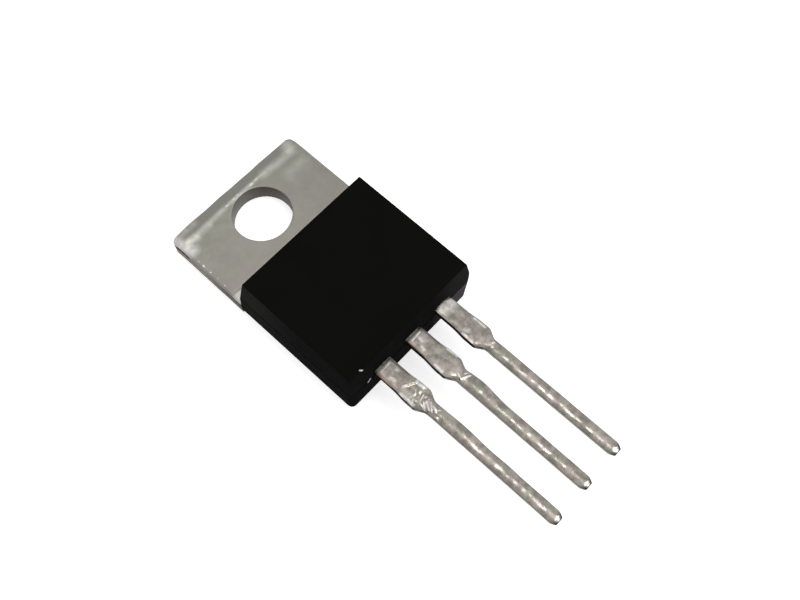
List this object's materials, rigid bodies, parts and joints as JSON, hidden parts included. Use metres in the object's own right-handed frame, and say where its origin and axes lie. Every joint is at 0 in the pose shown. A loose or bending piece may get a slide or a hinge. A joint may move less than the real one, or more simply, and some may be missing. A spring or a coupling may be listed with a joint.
{
  "type": "voltage regulator",
  "caption": "Plastic-moulded power regulator with a drilled metal heat tab and three straight tinned leads, lying on the bare back of its tab.",
  "frame": {"origin": "on the screw hole's axis, at the bare mounting face of the tab", "axes": "+Y towards the tab's free end, with the leads running along -Y; +Z out of the marking face; +X to the right seen from the front with the leads pointing down, so the input lead is on the -X side"},
  "size_m": [0.0102, 0.0285, 0.0043],
  "materials": {
    "moulding_compound": "black filled epoxy, satin on top and slightly greyer at the sides",
    "tinned_copper": "matt plated copper strip, with bare copper at the sheared edges",
    "dipped_leads": "uneven bright solder dip over copper strip",
    "solder": "dull soft solder",
    "silicon": "polished silicon with pale metal pads",
    "aluminium_wire": "drawn bright"
  },
  "bodies": {
    "root": {"moulded_body": "moulding_compound", "heat_tab": "tinned_copper", "input_lead": "dipped_leads", "output_lead": "dipped_leads", "die_solder": "solder", "regulator_die": "silicon", "input_wire": "aluminium_wire", "output_wire": "aluminium_wire", "sense_wire": "aluminium_wire", "ground_wire": "aluminium_wire"}
  },
  "joints": []
}
